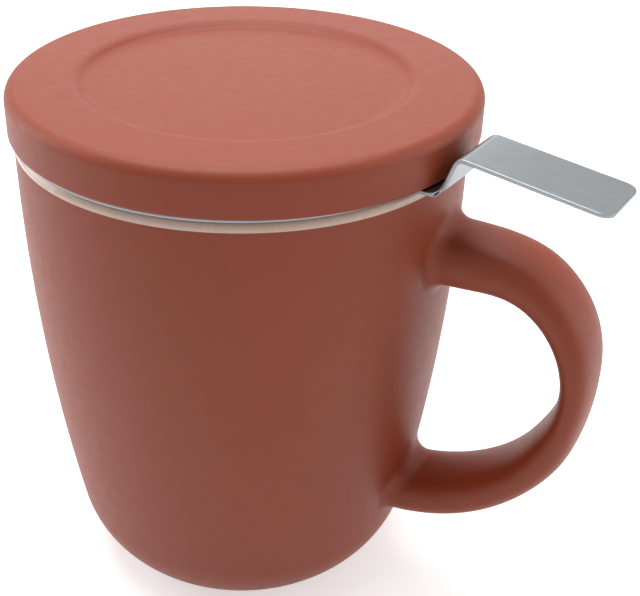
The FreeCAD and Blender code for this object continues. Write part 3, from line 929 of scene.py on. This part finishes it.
class MUG_OT_wall(bpy.types.Operator):
    """The basket's wall, perforated all round but for a plain seam"""
    bl_idname = "mug.wall"
    bl_label = "Perforated wall"

    def execute(self, context):
        scene = context.scene
        mug, s = scene.mug_sizes, scene.infuser_sizes
        radius = infuser_radii(mug, s)[1]
        columns = round(2 * math.pi * radius / s.hole_pitch)
        plain = math.ceil(s.seam / s.hole_pitch)
        pitch = 2 * math.pi * radius / columns
        bottom = mug.floor_z + s.base_lift
        neck_end = mug.lip_z - s.collar_height - s.neck_drop - s.neck_length
        top = neck_end + s.wall_lap
        low, high = bottom + s.base_rim + s.hole_margin, neck_end - s.hole_margin
        rows = int((high - low) / (pitch * ROW_STEP))
        row = (high - low) / rows
        cells = wall_cells(pitch, row, s.basket_sheet, s.hole_d / 2, low - bottom, top - high)
        piece = made_by(wall_tree(), "infuser_wall_steel", cells, {
            "Columns": columns, "Rows": rows, "Plain columns": plain, "Row height": row,
            "First row": low + row / 2, "Radius": radius,
            "Turn": math.pi + (plain + 0.5) * pitch / (2 * radius), "Crease": CREASE,
            "Material": sheet_steel(scene, "round")})
        seat(piece, "infuser", "stainless_perforated", "infuser_wall")
        return {"FINISHED"}


class MUG_OT_base(bpy.types.Operator):
    """The basket's perforated base and its upturned rim"""
    bl_idname = "mug.base"
    bl_label = "Perforated base"

    def execute(self, context):
        scene = context.scene
        mug, s = scene.mug_sizes, scene.infuser_sizes
        half = s.basket_sheet / 2
        rim_r = infuser_radii(mug, s)[1] - s.basket_sheet - half
        bottom = mug.floor_z + s.base_lift
        disc_r = rim_r - s.base_bend - half
        corners = [point(disc_r, bottom + half), point(rim_r, bottom + half),
                   point(rim_r, bottom + s.base_rim)]
        outline = sheet_outline(corners, [s.base_bend], s.basket_sheet)
        steel = sheet_steel(scene, "round")
        rim = turned("base_rim", outline, steel, segments=256)
        mesh = rim.data
        bpy.data.objects.remove(rim)
        piece = made_by(base_tree(), "infuser_base_steel", mesh, {
            "Side": 2 * math.ceil(disc_r / (s.hole_pitch * ROW_STEP)), "Pitch": s.hole_pitch,
            "Hole radius": s.hole_d / 2, "Field radius": disc_r - s.base_plain, "Disc radius": disc_r,
            "Sheet": s.basket_sheet, "Height": bottom, "Crease": CREASE, "Material": steel})
        seat(piece, "infuser", "stainless_perforated", "infuser_base")
        return {"FINISHED"}


class MUG_OT_lid(bpy.types.Operator):
    """The lid, turned from its outline"""
    bl_idname = "mug.lid"
    bl_label = "Lid"

    def execute(self, context):
        scene = context.scene
        points = lid_outline(scene.mug_sizes, scene.infuser_sizes, scene.lid_sizes)
        piece = turned("stoneware_lid", points, terracotta(scene), segments=FINE_SEGMENTS)
        piece.data.transform(Matrix.Translation((scene.lid_sizes.shift, 0.0, 0.0)))
        seat(piece, "lid", "stoneware_terracotta", "lid_body")
        return {"FINISHED"}


# Stage

def when_seen(tree, strength):
    """A strength for rays from the camera, gloss and glass, and none for the light that falls on things."""
    path = tree.nodes.new("ShaderNodeLightPath")
    glossy = sums(tree, "MAXIMUM", path.outputs["Is Glossy Ray"], path.outputs["Is Transmission Ray"])
    return sums(tree, "MULTIPLY", sums(tree, "MAXIMUM", path.outputs["Is Camera Ray"], glossy), strength)


def white_behind(tree, shader, strength):
    """Adds a plain white to what is seen of a stage surface."""
    glow = node_out(tree, "ShaderNodeEmission", {"Strength": when_seen(tree, strength)})
    both = tree.nodes.new("ShaderNodeAddShader")
    end = next(n for n in tree.nodes if n.type == "OUTPUT_MATERIAL")
    tree.links.new(shader.outputs[0], both.inputs[0])
    tree.links.new(glow, both.inputs[1])
    tree.links.new(both.outputs[0], end.inputs[0])


def area_lamp(name, place, size, power):
    data = bpy.data.lights.new(name, "AREA")
    data.shape = "RECTANGLE"
    data.size, data.size_y = size
    data.energy = power
    lamp = placed(name, data)
    lamp.location = place
    lamp.rotation_euler = (Vector(LAMP_AIM) - Vector(place)).to_track_quat("-Z", "Y").to_euler()


class MUG_OT_stage(bpy.types.Operator):
    """The pale floor, the soft lamps and the camera"""
    bl_idname = "mug.stage"
    bl_label = "Studio stage"

    def execute(self, context):
        scene = context.scene
        settings = scene.mug_stage
        mesh = bpy.data.meshes.new("studio_floor")
        mesh.from_pydata([(-3, -3, 0), (3, -3, 0), (3, 3, 0), (-3, 3, 0)], [], [(0, 1, 2, 3)])
        floor = placed("studio_floor", mesh)
        material, tree, shader = new_material("studio_floor")
        shader.inputs["Base Color"].default_value = tuple(scene.mug_finishes.floor) + (1.0,)
        shader.inputs["Roughness"].default_value = 0.9
        shader.inputs["Specular IOR Level"].default_value = 0.1
        white_behind(tree, shader, settings.floor_glow)
        mesh.materials.append(material)

        world = bpy.data.worlds.new("studio")
        scene.world = world
        world.use_nodes = True
        nodes = world.node_tree
        back = next(n for n in nodes.nodes if n.type == "BACKGROUND")
        back.inputs["Color"].default_value = (1.0, 1.0, 1.0, 1.0)
        light = sums(nodes, "ADD", when_seen(nodes, settings.backdrop), settings.daylight)
        nodes.links.new(light, back.inputs["Strength"])

        for name, (place, size, power) in LAMPS.items():
            area_lamp(name, place, size, power)

        data = bpy.data.cameras.new("camera")
        data.lens = settings.lens
        data.sensor_width = 36.0
        data.shift_x = settings.shift_x
        data.shift_y = settings.shift_y
        data.clip_start = 0.01
        camera = placed("camera", data)
        camera.location = settings.eye
        camera.rotation_euler = settings.turn
        scene.camera = camera
        scene.view_settings.view_transform = "Standard"
        return {"FINISHED"}


STEPS = [MUG_OT_body, MUG_OT_liner, MUG_OT_handle, MUG_OT_rim, MUG_OT_collar, MUG_OT_wall, MUG_OT_base,
         MUG_OT_lid, MUG_OT_stage]


class MUG_PT_panel(bpy.types.Panel):
    """The mug's pieces and their sizes"""
    bl_idname = "MUG_PT_panel"
    bl_label = "Lidded infuser mug"
    bl_space_type = "VIEW_3D"
    bl_region_type = "UI"
    bl_category = "Mug"

    def draw(self, context):
        for step in STEPS:
            self.layout.operator(step.bl_idname)
        for group, kind in GROUPS.items():
            box = self.layout.box()
            for key in kind.__annotations__:
                box.prop(getattr(context.scene, group), key)


def register():
    for group, kind in GROUPS.items():
        bpy.utils.register_class(kind)
        setattr(bpy.types.Scene, group, bpy.props.PointerProperty(type=kind))
    for step in STEPS:
        bpy.utils.register_class(step)
    bpy.utils.register_class(MUG_PT_panel)


def unregister():
    bpy.utils.unregister_class(MUG_PT_panel)
    for step in reversed(STEPS):
        bpy.utils.unregister_class(step)
    for group, kind in GROUPS.items():
        delattr(bpy.types.Scene, group)
        bpy.utils.unregister_class(kind)


def main():
    register()
    for step in STEPS:
        group, name = step.bl_idname.split(".")
        getattr(getattr(bpy.ops, group), name)()


if __name__ == "__main__":
    main()
